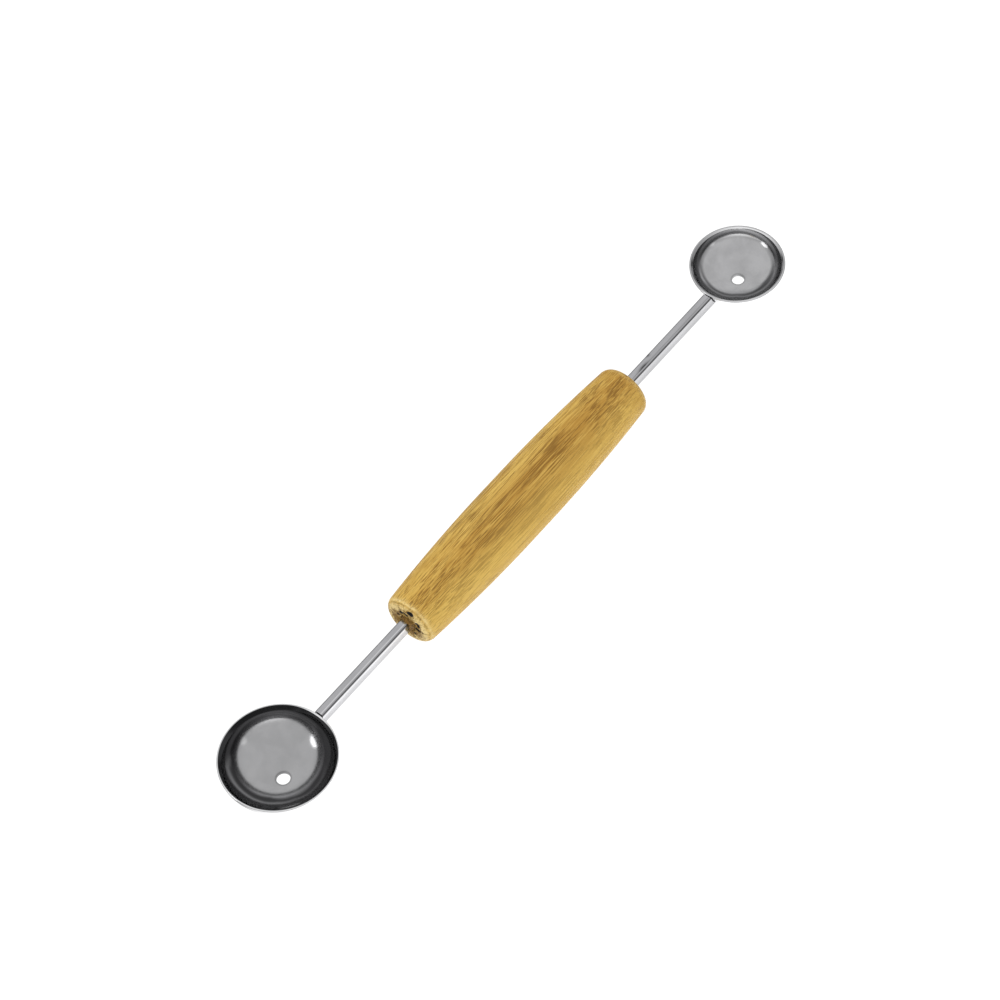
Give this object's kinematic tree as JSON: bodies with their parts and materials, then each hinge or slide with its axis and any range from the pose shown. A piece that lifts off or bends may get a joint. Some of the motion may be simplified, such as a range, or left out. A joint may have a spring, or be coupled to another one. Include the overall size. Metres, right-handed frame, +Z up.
{
  "type": "melon baller",
  "caption": "Double-ended melon baller: turned wooden handle, thin steel shanks, and a round steel scoop with a drain hole at each end.",
  "frame": {"origin": "middle of the tool's length, under the shanks' line, on the surface that the tool rests on", "axes": "+X along the shanks towards the small bowl, +Z up, the way both bowls open"},
  "size_m": [0.22, 0.0316, 0.019],
  "materials": {
    "handle_wood": "varnished",
    "bowl_steel": "polished",
    "shank_steel": "polished",
    "weld_metal": "dull",
    "glue": "set amber glue"
  },
  "bodies": {
    "root": {"handle": "handle_wood", "large_bowl": "bowl_steel", "large_shank": "shank_steel", "large_shank_weld": "weld_metal", "large_end_glue": "glue", "small_bowl": "bowl_steel", "small_shank": "shank_steel", "small_shank_weld": "weld_metal", "small_end_glue": "glue"}
  },
  "joints": []
}
